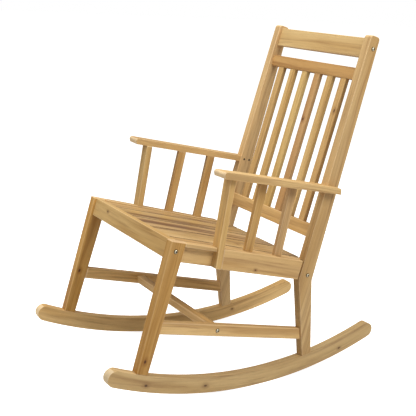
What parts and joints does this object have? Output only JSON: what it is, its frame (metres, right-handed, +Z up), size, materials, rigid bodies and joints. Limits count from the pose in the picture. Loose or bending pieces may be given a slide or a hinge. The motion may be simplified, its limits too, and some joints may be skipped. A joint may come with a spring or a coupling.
{
  "type": "rocking chair",
  "caption": "Wooden rocking chair with a high slatted back, plank seat, flat arms on slatted sides, splayed leg frames and long curved rockers.",
  "frame": {"origin": "on the floor, midway between the two rockers, on the line where they touch the floor at rest", "axes": "+Z up, -Y is the way the sitter faces, +X is the sitter's left"},
  "size_m": [0.609, 1.026, 1.1009],
  "materials": {
    "timber": "oiled, satin",
    "fasteners": "zinc plated"
  },
  "bodies": {
    "root": {"rocker_left": "timber", "rocker_right": "timber", "front_leg_left": "timber", "front_leg_right": "timber", "rear_post_left": "timber", "rear_post_right": "timber", "side_rail_left": "timber", "side_rail_right": "timber", "seat_edge_strip_left": "timber", "seat_edge_strip_right": "timber", "side_stretcher_left": "timber", "side_stretcher_right": "timber", "arm_front_post_left": "timber", "arm_front_post_right": "timber", "arm_left": "timber", "arm_right": "timber", "arm_slat_1_left": "timber", "arm_slat_1_right": "timber", "arm_slat_2_left": "timber", "arm_slat_2_right": "timber", "side_board_left": "timber", "side_board_right": "timber", "front_apron": "timber", "rear_seat_rail": "timber", "front_batten": "timber", "rear_batten": "timber", "seat_board_1": "timber", "seat_board_2": "timber", "seat_board_3": "timber", "seat_board_4": "timber", "seat_board_5": "timber", "cross_stretcher": "timber", "top_back_rail": "timber", "upper_slat_rail": "timber", "lower_slat_rail": "timber", "back_slat_1": "timber", "back_slat_2": "timber", "back_slat_3": "timber", "back_slat_4": "timber", "back_slat_5": "timber", "back_slat_6": "timber", "apron_bolts": "fasteners", "rear_rail_bolts": "fasteners", "top_rail_bolts": "fasteners", "stretcher_bolts": "fasteners", "barrel_nuts": "fasteners", "seat_screws": "fasteners", "arm_screws": "fasteners"}
  },
  "joints": []
}
